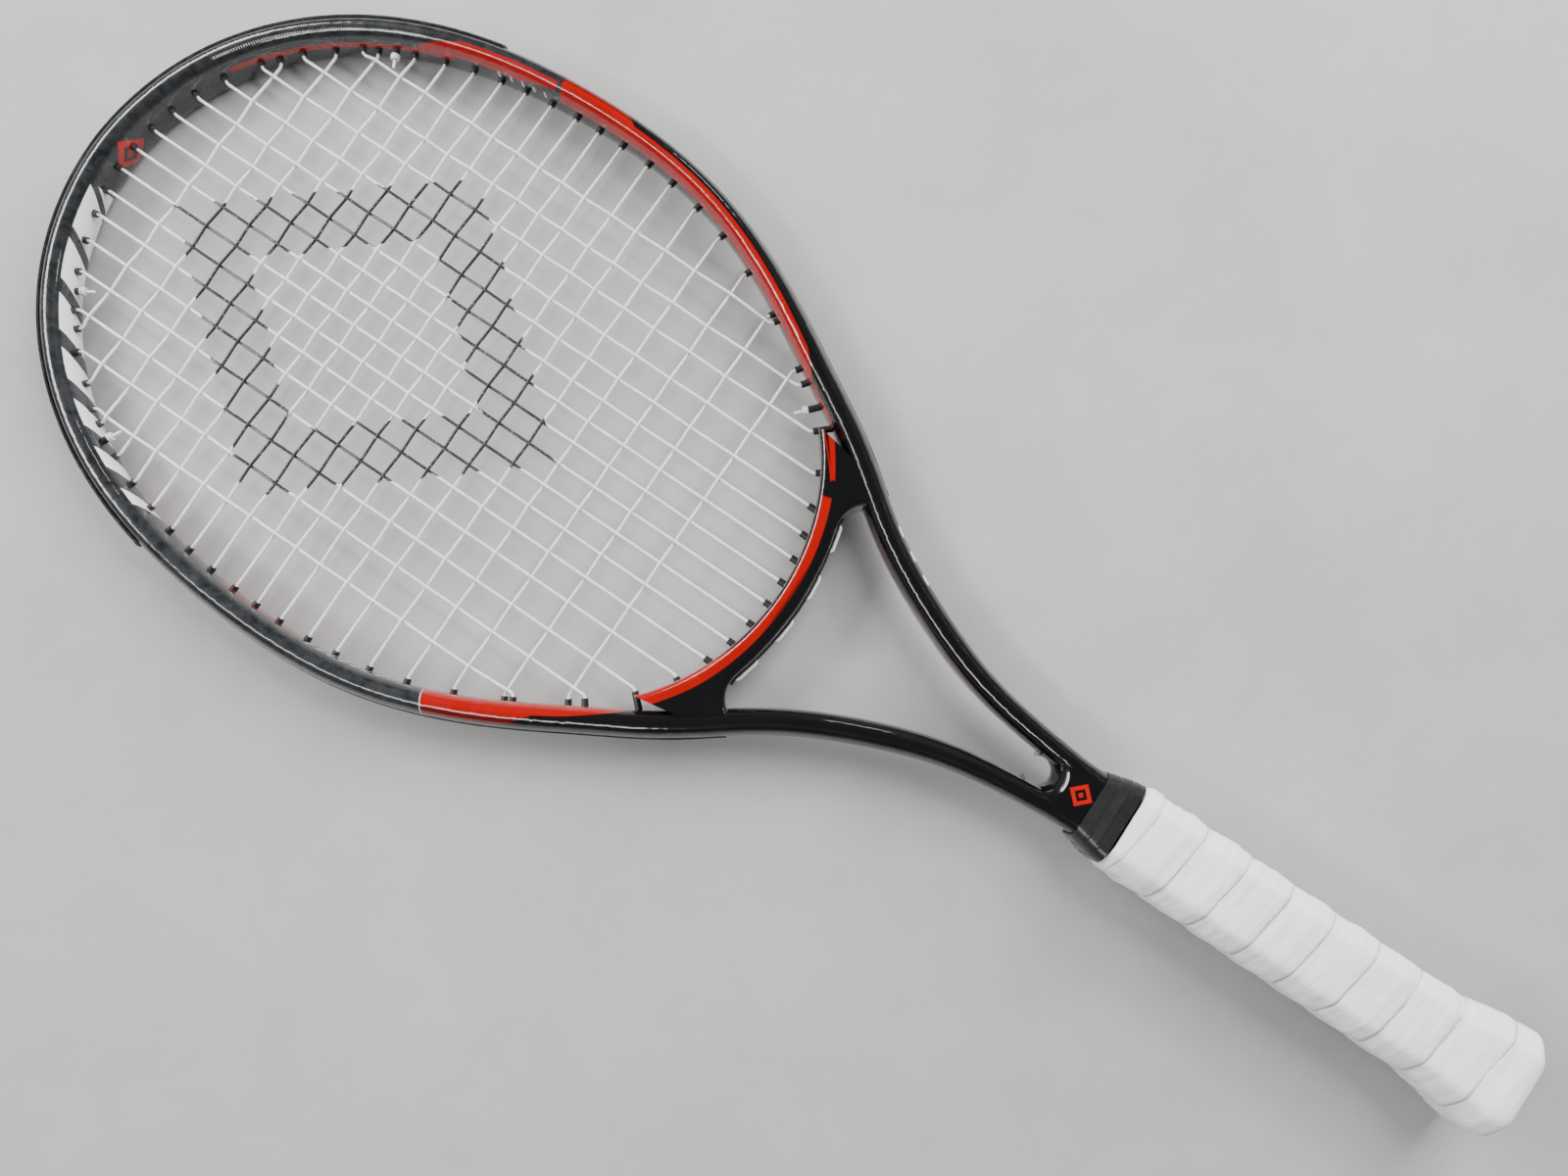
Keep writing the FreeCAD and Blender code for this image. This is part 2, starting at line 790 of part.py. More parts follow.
def tube_plugs():
    """Foam plugs in the open ends of the two tubes."""
    plug = Part.Face(rounded_block(channel_half_width - 0.1, channel_half_height - 0.1, 3.4, 12))
    plug = plug.extrude(V(0, 26, 0))
    return Part.makeCompound([plug.translated(V(channel_middle, 0, 0)),
                              plug.translated(V(-channel_middle, 0, 0))])


def tail_weight():
    """Silicone weight set in the right tube above its plug."""
    block = Part.Face(rounded_block(channel_half_width - 0.1, channel_half_height - 0.1, 3.4, 40))
    return block.extrude(V(0, 22, 0)).translated(V(channel_middle, 0, 0))


def shell_between(heights, inner_lift, outer_lift, squeezes=None):
    outer = sleeve(heights, outer_lift, squeezes)
    inner = sleeve(heights, inner_lift, squeezes)
    return one_solid(outer.cut(inner))


grip_heights = [2.5, 6, 11, 20, 34, 42, 110]


def base_grip():
    """Cushioned grip wound on the pallets and the cap."""
    heights = grip_heights + [handle_top_y - 1]
    return shell_between(heights, base_grip_lift, base_grip_lift + base_grip_thickness)


def grip_tack():
    """Small tack that holds the first turn of the base grip at the butt."""
    y = 60.0
    level = handle_half_height + base_grip_lift + base_grip_thickness
    head = Part.makeCylinder(1.6, 0.15, V(0, y, level + 0.02), V(0, 0, 1))
    return head


def grip_tape():
    """Finishing tape round the top of the base grip."""
    heights = [handle_top_y - 9, handle_top_y - 1.5]
    low = base_grip_lift + base_grip_thickness + 0.03
    return shell_between(heights, low, low + 0.14)


def overgrip():
    """White wrap over the base grip, from the butt edge to the collar."""
    heights = [0.3] + grip_heights + [handle_top_y - 0.5, grip_top_y]
    squeezes = {grip_top_y: 1.6}
    return shell_between(heights, overgrip_lift, overgrip_lift + overgrip_thickness, squeezes)


def grip_collar():
    """Rubber ring round the shaft at the top of the grip, with two ribs."""
    sections = [(0.0, 17.7, 15.0), (3.6, 17.3, 14.5), (4.0, 16.7, 13.9), (4.8, 16.6, 13.8),
                (5.2, 17.0, 14.1), (8.2, 16.2, 12.9), (8.6, 15.6, 12.3), (9.4, 15.5, 12.1),
                (9.8, 15.8, 12.3), (13.5, 14.8, 11.0)]
    rings = []
    for rise, half_width, half_height in sections:
        rings.append(rounded_block(half_width, half_height, 6.2, collar_low_y + rise))
    body = Part.makeLoft(rings, True, True)
    bore = rounded_block(shaft_half_width + 0.35, shaft_half_height + 0.35, 5.8, collar_low_y - 1)
    return one_solid(body.cut(Part.Face(bore).extrude(V(0, 20, 0))))


def save(name, shape):
    shape.exportStep("parts/" + name + ".step")
    print(name, shape.isValid(), len(shape.Solids), round(shape.Volume, 1), flush=True)


os.makedirs("parts", exist_ok=True)
save("butt_cap", butt_cap())
save("butt_door", butt_door())
save("cap_staples", Part.makeCompound([staple(1, 0), staple(-1, 0)]))
save("pallet_front", pallet(1))
save("pallet_back", pallet(-1))
save("tube_plugs", tube_plugs())
save("tail_weight", tail_weight())
save("base_grip", base_grip())
save("grip_tack", grip_tack())
save("grip_tape", grip_tape())
save("overgrip", overgrip())
save("grip_collar", grip_collar())
save("main_string", main_string())
save("cross_string", cross_string())
save("tie_knots", tie_knots())
save("bridge_strip", bridge_strip())
save("bumper_strip", bumper_strip())
save("side_strip_right", side_strip(1))
save("side_strip_left", side_strip(-1))
save("throat_bridge", throat_bridge())
save("frame_hairpin", frame_hairpin())
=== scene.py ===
import bpy
import bmesh
import math
from mathutils import Matrix, Vector, noise


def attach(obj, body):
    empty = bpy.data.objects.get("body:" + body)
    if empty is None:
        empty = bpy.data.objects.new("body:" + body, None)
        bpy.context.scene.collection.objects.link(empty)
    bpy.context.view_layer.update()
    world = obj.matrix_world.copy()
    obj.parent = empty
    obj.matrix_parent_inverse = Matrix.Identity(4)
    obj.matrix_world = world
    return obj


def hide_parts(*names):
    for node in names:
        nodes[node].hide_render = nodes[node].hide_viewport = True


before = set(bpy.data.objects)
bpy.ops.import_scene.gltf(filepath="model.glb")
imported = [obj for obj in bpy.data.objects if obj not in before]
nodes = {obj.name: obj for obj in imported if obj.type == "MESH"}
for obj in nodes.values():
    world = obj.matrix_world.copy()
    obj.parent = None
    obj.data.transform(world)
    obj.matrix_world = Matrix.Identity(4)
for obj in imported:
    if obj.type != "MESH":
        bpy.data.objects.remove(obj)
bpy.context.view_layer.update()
print("frame loaded:", len(nodes), "parts")

# Camera, held above the throat and turned so that the handle points down to the right

cameraSetup = {
    "place": (-0.0379, 0.3170, 0.4757),
    "lookAt": (0.00396, 0.34225, 0.0),
    "upward": (0.8242, 0.5571, 0.1021),
    "lens": 27.0,
}


def placeCamera(setup):
    camera = bpy.data.objects.new("studioCamera", bpy.data.cameras.new("studioCamera"))
    bpy.context.scene.collection.objects.link(camera)
    place = Vector(setup["place"])
    back = (place - Vector(setup["lookAt"])).normalized()
    right = Vector(setup["upward"]).cross(back).normalized()
    up = back.cross(right)
    camera.matrix_world = Matrix.Translation(place) @ Matrix((right, up, back)).transposed().to_4x4()
    camera.data.lens = setup["lens"]
    camera.data.sensor_width = 36
    camera.data.clip_start = 0.01
    bpy.context.scene.camera = camera


placeCamera(cameraSetup)


# Finishes: colour, gloss and relief worked out from the place on the racket

def brushUp(colour):
    return (*colour, 1.0) if len(colour) == 3 else colour


class Finish:
    def __init__(self, name, colour=(0.5, 0.5, 0.5), roughness=0.4, uvMap=None, **sockets):
        self.material = bpy.data.materials.new(name)
        self.material.use_nodes = True
        self.tree = self.material.node_tree
        self.shader = self.tree.nodes["Principled BSDF"]
        self.shader.inputs["Base Color"].default_value = brushUp(colour)
        self.shader.inputs["Roughness"].default_value = roughness
        for socket, value in sockets.items():
            self.shader.inputs[socket.replace("_", " ")].default_value = value
        if uvMap:
            self.place = self.add("ShaderNodeUVMap", uv_map=uvMap).outputs["UV"]
        else:
            self.place = self.add("ShaderNodeTexCoord").outputs["Object"]
        split = self.add("ShaderNodeSeparateXYZ")
        self.join(self.place, split.inputs[0])
        self.x, self.y, self.z = split.outputs
        self.relief = None

    def add(self, kind, **settings):
        made = self.tree.nodes.new(kind)
        for key, value in settings.items():
            setattr(made, key, value)
        return made

    def join(self, source, target):
        self.tree.links.new(source, target)

    def feed(self, target, value):
        if isinstance(value, bpy.types.NodeSocket):
            self.join(value, target)
        else:
            target.default_value = value

    def calc(self, operation, first, second=0.0, third=0.0, clamp=False):
        made = self.add("ShaderNodeMath", operation=operation, use_clamp=clamp)
        for socket, value in zip(made.inputs, (first, second, third)):
            self.feed(socket, value)
        return made.outputs[0]

    def mm(self, value, centre=0.0):
        # distance from a centre, in millimetres
        return self.calc("MULTIPLY", self.calc("SUBTRACT", value, centre), 1000.0)

    def over(self, value, edge, soft=0.25):
        # 1 where the value is above the edge
        ramp = self.add("ShaderNodeMapRange")
        self.feed(ramp.inputs["Value"], value)
        if isinstance(edge, bpy.types.NodeSocket):
            self.join(self.calc("SUBTRACT", edge, soft), ramp.inputs["From Min"])
            self.join(self.calc("ADD", edge, soft), ramp.inputs["From Max"])
        else:
            ramp.inputs["From Min"].default_value = edge - soft
            ramp.inputs["From Max"].default_value = edge + soft
        return ramp.outputs[0]

    def ramp(self, value, low, high, atLow=0.0, atHigh=1.0):
        made = self.add("ShaderNodeMapRange")
        for socket, number in zip(made.inputs, (value, low, high, atLow, atHigh)):
            self.feed(socket, number)
        return made.outputs[0]

    def within(self, value, low, high, soft=0.25):
        return self.both(self.over(value, low, soft), self.less(value, high, soft))

    def less(self, value, edge, soft=0.25):
        return self.calc("SUBTRACT", 1.0, self.over(value, edge, soft))

    def both(self, *masks):
        total = masks[0]
        for mask in masks[1:]:
            total = self.calc("MULTIPLY", total, mask)
        return total

    def either(self, *masks):
        total = masks[0]
        for mask in masks[1:]:
            total = self.calc("MAXIMUM", total, mask)
        return total

    def stretched(self, scale, turn=(0, 0, 0)):
        mapping = self.add("ShaderNodeMapping")
        self.join(self.place, mapping.inputs["Vector"])
        mapping.inputs["Scale"].default_value = scale
        mapping.inputs["Rotation"].default_value = turn
        return mapping.outputs[0]

    def cloud(self, scale, detail=4.0, rough=0.55, twist=0.0, stretch=None, turn=(0, 0, 0)):
        made = self.add("ShaderNodeTexNoise")
        self.join(self.stretched(stretch, turn) if stretch else self.place, made.inputs["Vector"])
        made.inputs["Scale"].default_value = scale
        made.inputs["Detail"].default_value = detail
        made.inputs["Roughness"].default_value = rough
        made.inputs["Distortion"].default_value = twist
        return made.outputs["Fac"]

    def cells(self, scale, feature="F1", stretch=None, turn=(0, 0, 0)):
        made = self.add("ShaderNodeTexVoronoi", feature=feature)
        self.join(self.stretched(stretch, turn) if stretch else self.place, made.inputs["Vector"])
        made.inputs["Scale"].default_value = scale
        return made.outputs["Distance"]

    def shades(self, value, *stops):
        # a colour for each place between 0 and 1
        made = self.add("ShaderNodeValToRGB")
        self.join(value, made.inputs[0])
        points = made.color_ramp.elements
        while len(points) < len(stops):
            points.new(0.5)
        for point, (where, colour) in zip(points, stops):
            point.position = where
            point.color = brushUp(colour)
        return made.outputs[0]

    def paint(self, under, mask, colour):
        mix = self.add("ShaderNodeMix", data_type="RGBA")
        self.join(mask, mix.inputs[0])
        self.feed(mix.inputs[6], under if isinstance(under, bpy.types.NodeSocket) else brushUp(under))
        self.feed(mix.inputs[7], colour if isinstance(colour, bpy.types.NodeSocket) else brushUp(colour))
        return mix.outputs[2]

    def colour(self, value):
        self.join(value, self.shader.inputs["Base Color"])

    def gloss(self, value):
        self.join(value, self.shader.inputs["Roughness"])

    def emboss(self, height, depth, strength=1.0):
        bump = self.add("ShaderNodeBump")
        bump.inputs["Distance"].default_value = depth
        bump.inputs["Strength"].default_value = strength
        self.join(height, bump.inputs["Height"])
        if self.relief:
            self.join(self.relief, bump.inputs["Normal"])
        self.relief = bump.outputs[0]
        self.join(self.relief, self.shader.inputs["Normal"])

    def curve(self, value, points):
        made = self.add("ShaderNodeFloatCurve")
        self.join(value, made.inputs["Value"])
        line = made.mapping.curves[0].points
        while len(line) < len(points):
            line.new(0.5, 0.5)
        for point, (where, height) in zip(line, points):
            point.location = (where, height)
        made.mapping.update()
        return made.outputs[0]


def lay(finish, *names):
    for name in names:
        slots = nodes[name].data.materials
        slots.clear()
        slots.append(finish.material)


# Floor and lights

floorSetup = {
    "radius": 1.9,
    "buttHeight": -0.0209,
    "headHeight": -0.0108,
    "run": 0.664,  # from the butt's resting place, "front", to the tip's
    "front": 0.011,
    "colour": (0.36, 0.357, 0.35),
    "shade": (0.335, 0.332, 0.326),
    "light": (0.385, 0.382, 0.375),
}


def layFloor(setup):
    bm = bmesh.new()
    bmesh.ops.create_circle(bm, cap_ends=True, segments=96, radius=setup["radius"])
    lean = math.atan2(setup["headHeight"] - setup["buttHeight"], setup["run"])
    bmesh.ops.rotate(bm, cent=(0, 0, 0), matrix=Matrix.Rotation(lean, 3, "X"), verts=bm.verts)
    bmesh.ops.translate(bm, vec=(0, setup["front"], setup["buttHeight"]), verts=bm.verts)
    bmesh.ops.recalc_face_normals(bm, faces=bm.faces)
    mesh = bpy.data.meshes.new("studioFloor")
    bm.to_mesh(mesh)
    bm.free()
    board = bpy.data.objects.new("studioFloor", mesh)
    bpy.context.scene.collection.objects.link(board)
    finish = Finish("floorBoard", setup["colour"], 0.75)
    mottle = finish.cloud(9, detail=8, rough=0.7)
    finish.colour(finish.shades(mottle, (0.35, setup["shade"]), (0.65, setup["light"])))
    finish.emboss(finish.cloud(420, detail=3), 0.0004, 0.25)
    mesh.materials.append(finish.material)


lights = {
    "windowRight": {"place": (1.25, 0.15, 0.95), "aim": (0.05, 0.4, 0), "size": (0.95, 1.8), "power": 66,
                    "inGloss": False},
    "rimRight": {"place": (1.25, 0.15, 0.95), "aim": (0.05, 0.4, 0), "size": (1.5, 0.13), "power": 7},
    "windowHead": {"place": (-0.15, 1.6, 1.05), "aim": (0, 0.5, 0), "size": (1.5, 0.42), "power": 34},
    "fillLeft": {"place": (-0.85, 0.6, 1.15), "aim": (0, 0.4, 0), "size": (1.3, 0.2), "power": 11},
}


def hangLights(setup):
    for name, facts in setup.items():
        data = bpy.data.lights.new(name, "AREA")
        data.shape = "RECTANGLE"
        data.size, data.size_y = facts["size"]
        data.energy = facts["power"]
        lamp = bpy.data.objects.new(name, data)
        bpy.context.scene.collection.objects.link(lamp)
        place = Vector(facts["place"])
        lamp.location = place
        lamp.visible_glossy = facts.get("inGloss", True)
        lamp.rotation_mode = "QUATERNION"
        lamp.rotation_quaternion = (Vector(facts["aim"]) - place).to_track_quat("-Z", "Y")


studioAir = {"pale": (0.37, 0.372, 0.375), "dim": (0.084, 0.0865, 0.09), "paleBelow": 0.06, "dimAbove": 0.30}


def fillAir(setup):
    # pale walls near the floor's height, dim above
    world = bpy.data.worlds.new("studioAir")
    world.use_nodes = True
    tree = world.node_tree
    split = tree.nodes.new("ShaderNodeSeparateXYZ")
    shade = tree.nodes.new("ShaderNodeValToRGB")
    tree.links.new(tree.nodes.new("ShaderNodeTexCoord").outputs["Generated"], split.inputs[0])
    tree.links.new(split.outputs[2], shade.inputs[0])
    tree.links.new(shade.outputs[0], tree.nodes["Background"].inputs[0])
    low, high = shade.color_ramp.elements
    low.position, low.color = setup["paleBelow"], brushUp(setup["pale"])
    high.position, high.color = setup["dimAbove"], brushUp(setup["dim"])
    bpy.context.scene.world = world


layFloor(floorSetup)
hangLights(lights)
fillAir(studioAir)
print("camera, floor and lights set")

# Painted frame. Angles run round the head from the tip, 0, to the bridge, 180.
# Other sizes are in millimetres unless a note says metres.

lacquer = {
    "black": (0.0028, 0.0028, 0.0031),
    "carbonDark": (0.007, 0.0075, 0.008),
    "carbonMid": (0.016, 0.0175, 0.019),
    "carbonLight": (0.030, 0.032, 0.034),
    "carbonFleck": (0.021, 0.0225, 0.0245),
    "red": (0.25, 0.0004, 0.0004),
    "redBright": (0.30, 0.0006, 0.0006),
    "redShaded": (0.11, 0.0005, 0.0005),
    "badge": (0.36, 0.002, 0.001),
    "white": (0.78, 0.78, 0.76),
    "silver": (0.42, 0.43, 0.44),
    "highlightGrey": (0.42, 0.42, 0.42),
    "fineRow": (0.33, 0.33, 0.33),
}
headCentre = 0.508  # metres up the racket
headBottom = 338
# where each shape starts and ends: angles round the head
marks = {
    "panelRight": 77.5,  # carbon gives way to red here
    "panelLeft": 122.5,
    "cutRight": (86.5, 93.5),  # the full panels are cut off slantwise
    "cutLeft": (131.0, 140.0),
    "fadeRight": (143.0, 151.0),
    "pointed": (148.5, 162.4),
    "sliver": (153.0, 162.6),
    "bridgeStripe": 164.9,
    "leftTaper": (150.0, 172.0),
    "crest": 50.0,
    "fineRight": (20.0, 56.0),
    "fineLeft": (78.0, 98.0),
    "bars": (6.0, 63.0),
    "slashes": (99.0, 116.0),
    "ticks": (64.0, 76.0),
    "dashes": (19.0, 52.0),
}
# and heights along the arms
armMarks = {"outerLine": (198, 288), "innerLine": (252, 328), "blocks": (291, 319), "linesEnd": 330}
badges = {"tipX": 0.0025, "throatX": 0.0006, "throatY": 0.1997}  # in metres
# radius of the inner wall round the head centre, every 11.25 degrees
wallRadii = (165.3, 163.5, 158.8, 151.5, 143.1, 134.9, 128.1, 123.8, 122.3,
             123.4, 126.5, 130.9, 137.4, 147.1, 157.4, 163.6, 165.6)
wallRange = (115, 60)  # lowest radius and spread that the curve works with
# half spread of the arms' middle lines, every 25 mm up from 0.2 m
armSpread = (9.0, 11.4, 15.4, 23.2, 34.2, 49.4, 67.6)
armRange = 80


class FramePaint(Finish):
    # a finish that knows its place round the head and along the arms
    def __init__(self, name):
        super().__init__(name, lacquer["black"], 0.2, Specular_IOR_Level=0.25, Coat_Weight=1.0,
                         Coat_Roughness=0.065, Coat_IOR=1.55)
        flip = self.calc("SIGN", self.z)  # the back is the front turned over
        self.high = self.calc("ABSOLUTE", self.mm(self.z))
        self.right = self.over(self.mm(self.calc("MULTIPLY", self.x, flip)), 0.0, 0.01)
        self.left = self.calc("SUBTRACT", 1.0, self.right)
        self.wallRight = self.over(self.mm(self.x), 0.0, 0.01)
        self.wallLeft = self.calc("SUBTRACT", 1.0, self.wallRight)
        self.front = self.over(self.mm(self.z), 0.0, 0.05)
        side = self.calc("ABSOLUTE", self.x)
        along = self.calc("SUBTRACT", self.y, headCentre)
        turn = self.calc("ARCTAN2", side, along)
        self.angle = self.calc("MULTIPLY", turn, 180 / math.pi)
        squares = self.calc("ADD", self.calc("MULTIPLY", side, side), self.calc("MULTIPLY", along, along))
        lowest, spread = wallRange
        wall = self.curve(self.calc("DIVIDE", turn, math.pi),
                          [(i / 16, (radius - lowest) / spread) for i, radius in enumerate(wallRadii)])
        wall = self.calc("MULTIPLY_ADD", wall, spread, lowest)
        self.out = self.calc("SUBTRACT", self.calc("MULTIPLY", self.calc("SQRT", squares), 1000), wall)
        self.onWall = self.less(self.out, 1.6, 0.15)
        self.head = self.over(self.mm(self.y), headBottom, 1.0)
        arm = self.curve(self.ramp(self.y, 0.2, 0.35),
                         [(i / 6, half / armRange) for i, half in enumerate(armSpread)])
        self.armOut = self.calc("SUBTRACT", self.mm(side), self.calc("MULTIPLY", arm, armRange))

    def arc(self, span, soft=0.1):
        return self.within(self.angle, *span, soft)

    def alongArc(self, span, atLow, atHigh):
        return self.ramp(self.angle, *span, atLow, atHigh)

    def beats(self, rate, slope=0.0):
        # 0 to 1 again and again round the head, slanted across the wall
        beat = self.calc("MULTIPLY", self.angle, rate)
        if slope:
            beat = self.calc("ADD", beat, self.calc("MULTIPLY", self.mm(self.z), slope))
        return self.calc("FRACT", beat)

    def carbonTop(self):
        # where the carbon look shows, and its colour
        marble = self.cloud(120, detail=6, rough=0.62, twist=1.4, stretch=(1.0, 1.0, 0.6))
        flecks = self.cells(260, stretch=(1.0, 0.55, 1.0), turn=(0, 0, 0.6))
        carbon = self.shades(marble, (0.36, lacquer["carbonDark"]), (0.55, lacquer["carbonMid"]),
                             (0.70, lacquer["carbonLight"]))
        speckled = self.both(self.over(flecks, 0.55, 0.12), self.over(marble, 0.45, 0.1))
        top = self.either(self.both(self.right, self.less(self.angle, marks["panelRight"], 0.1)),
                          self.both(self.left, self.less(self.angle, marks["panelLeft"], 0.1)))
        return self.both(top, self.head), self.paint(carbon, speckled, lacquer["carbonFleck"])

    def redOnHead(self):
        # a full panel, cut off slantwise outside, then a stripe on the inner half of the face
        limitRight = self.alongArc(marks["cutRight"], 14.0, 5.3)
        limitLeft = self.alongArc(marks["cutLeft"], 14.0, 5.3)
        fade = self.alongArc(marks["fadeRight"], 0.0, 4.6)
        inner = self.either(self.both(self.over(self.high, 3.4, 0.15), self.over(self.out, -1.5, 0.1)),
                            self.over(self.out, 5.0, 0.3))
        panel = self.both(self.right, self.over(self.angle, marks["panelRight"], 0.08),
                          self.less(self.calc("ADD", self.out, fade), limitRight, 0.12),
                          self.less(self.angle, marks["fadeRight"][1] + 0.5, 0.2))
        low, high = marks["pointed"]
        pointed = self.both(self.right, self.arc((low, high)),
                            self.within(self.out, self.alongArc((low, high), 2.4, 4.2),
                                        self.alongArc((low + 1.5, low + 5.5), 3.2, 6.0), 0.12))
        sliver = self.both(self.right, self.arc(marks["sliver"]),
                           self.within(self.out, self.alongArc(marks["sliver"], 0.5, 4.0),
                                       self.alongArc(marks["sliver"], 1.1, 4.6), 0.1))
        bridge = self.both(self.right, self.over(self.angle, marks["bridgeStripe"], 0.12),
                           self.within(self.out, 1.3, 5.6, 0.12))
        leftSide = self.both(self.left, self.over(self.angle, marks["panelLeft"], 0.08),
                             self.less(self.out, limitLeft, 0.12),
                             self.over(self.out, self.alongArc(marks["leftTaper"], -3.0, 1.3), 0.12))
        low, high = marks["crest"], marks["panelRight"]
        crest = self.both(self.right, self.arc((low, high - 0.9)), self.over(self.high, 4.6, 0.15),
                          self.within(self.out, self.alongArc((low + 8, high - 1.5), -2.0, 1.6),
                                      self.alongArc((low, low + 8.5), 0.6, 4.9), 0.12))
        return self.both(self.either(panel, pointed, sliver, bridge, leftSide, crest), inner, self.head)

    def redLines(self):
        # thin lines on the inner wall and along the arms
        wallLines = self.either(
            self.both(self.wallRight, self.front, self.onWall, self.arc(marks["fineRight"], 0.3),
                      self.within(self.high, 1.4, 4.6, 0.12)),
            self.both(self.wallLeft, self.front, self.onWall, self.arc(marks["fineLeft"], 0.3),
                      self.within(self.high, 1.2, 2.6, 0.1)))
        upArm = self.mm(self.y)
        armLines = self.either(
            self.both(self.over(self.armOut, 3.4, 0.1), self.within(self.high, 4.6, 5.5, 0.1),
                      self.within(upArm, *armMarks["outerLine"], 0.5)),
            self.both(self.less(self.armOut, -3.4, 0.1), self.within(self.high, 5.8, 6.6, 0.1),
                      self.within(upArm, *armMarks["innerLine"], 0.5)))
        return self.either(self.both(wallLines, self.head),
                           self.both(armLines, self.less(upArm, armMarks["linesEnd"], 0.5)))

    def slantedBars(self):
        # plain bars left of the tip, shrinking as they go
        share = self.alongArc(marks["bars"], 0.86, 0.38)
        bars = self.both(self.wallLeft, self.arc(marks["bars"]), self.less(self.out, 2.2, 0.15),
                         self.less(self.high, 8.2, 0.15), self.less(self.beats(1 / 8.2, 0.028), share, 0.012),
                         self.head)
        return self.both(bars, self.over(self.cloud(900, detail=3, rough=0.7), 0.30, 0.03))

    def silverMarks(self):
        # slashes lower down the inner wall and small ticks beside the right panel
        slashes = self.both(self.wallLeft, self.front, self.arc(marks["slashes"]), self.onWall,
                            self.less(self.high, 5.0, 0.15), self.less(self.beats(0.42, 0.10), 0.34, 0.02))
        ticks = self.both(self.wallRight, self.front, self.arc(marks["ticks"]), self.onWall,
                          self.within(self.high, 1.0, 5.0, 0.12), self.less(self.beats(0.42), 0.2, 0.02))
        return self.both(self.either(slashes, ticks), self.head)

    def dashRow(self):
        return self.both(self.right, self.arc(marks["dashes"], 0.05), self.within(self.out, 2.6, 3.5, 0.05),
                         self.less(self.beats(2.6), self.cloud(160, detail=1), 0.03),
                         self.over(self.high, 5, 0.2), self.head)

    def armBlocks(self):
        upArm = self.mm(self.y)
        beat = self.calc("FRACT", self.calc("MULTIPLY", upArm, 1 / 9.5))
        return self.both(self.right, self.over(self.armOut, 3.6, 0.12),
                         self.within(upArm, *armMarks["blocks"], 0.2), self.less(beat, 0.42, 0.02),
                         self.within(self.high, 3.4, 8.2, 0.15))

    def openDiamond(self, first, second, inside, outside, middle, soft):
        size = self.calc("ADD", self.calc("ABSOLUTE", first), self.calc("ABSOLUTE", second))
        return self.either(self.within(size, inside, outside, soft), self.less(size, middle, soft))

    def diamonds(self):
        # plain badges inside the tip and above the collar
        tip = self.openDiamond(self.mm(self.x, badges["tipX"]), self.mm(self.z), 4.8, 8.6, 2.4, 0.12)
        throat = self.openDiamond(self.mm(self.x, badges["throatX"]), self.mm(self.y, badges["throatY"]),
                                  2.9, 5.2, 1.3, 0.1)
        return self.either(self.both(tip, self.over(self.mm(self.y), 660, 1)),
                           self.both(throat, self.over(self.mm(self.z), 5, 0.5)))


def paintFrame(name):
    f = FramePaint(name)
    topPart, carbon = f.carbonTop()
    coat = f.paint(lacquer["black"], topPart, carbon)
    redTone = f.shades(f.cloud(70, detail=3), (0.3, lacquer["red"]), (0.75, lacquer["redBright"]))
    # the red more than 6.6 mm out from the inner wall, round the outer side, is darker: painted shade on the
    # side turned from the light
    redTone = f.paint(redTone, f.over(f.out, 6.6, 0.5), lacquer["redShaded"])
    coat = f.paint(coat, f.either(f.redOnHead(), f.redLines()), redTone)
    # a thin pale grey line where the left panel starts: a painted highlight along the ridge of the tube
    edgeHighlight = f.both(f.left, f.arc((marks["panelLeft"] - 0.18, marks["panelLeft"]), 0.06), f.head,
                  f.over(f.high, 3, 0.2), f.over(f.out, 0.2, 0.2))
    for mask, colour in ((edgeHighlight, "highlightGrey"), (f.slantedBars(), "white"), (f.silverMarks(), "silver"),
                         (f.dashRow(), "fineRow"), (f.armBlocks(), "white"), (f.diamonds(), "badge")):
        coat = f.paint(coat, mask, lacquer[colour])
    f.colour(coat)

    satin = f.ramp(f.cloud(38, detail=5, rough=0.7), 0.3, 0.75, 0.16, 0.30)
    grit = f.ramp(f.cloud(2600, detail=2), 0.3, 0.7, 0.0, 0.10)
    f.gloss(f.calc("ADD", satin, f.calc("MULTIPLY", topPart, grit)))
    f.emboss(f.cloud(240, detail=1, rough=0.3), 0.00005, 0.06)
    f.emboss(f.cloud(1800, detail=2), 0.00001, 0.05)
    return f


lay(paintFrame("frameLacquer"), "frame_hairpin")
lay(paintFrame("bridgeLacquer"), "throat_bridge")
print("frame painted")

# Strings: silver monofilament with a stencilled open diamond

stringTone = {
    "silver": (0.74, 0.745, 0.75),
    "shade": (0.60, 0.605, 0.61),
    "ink": (0.012, 0.012, 0.012),
    "stencilCentre": (-0.006, 0.546),
    "stencilHalf": (0.082, 0.098),
    "stencilOpen": 0.60,
}


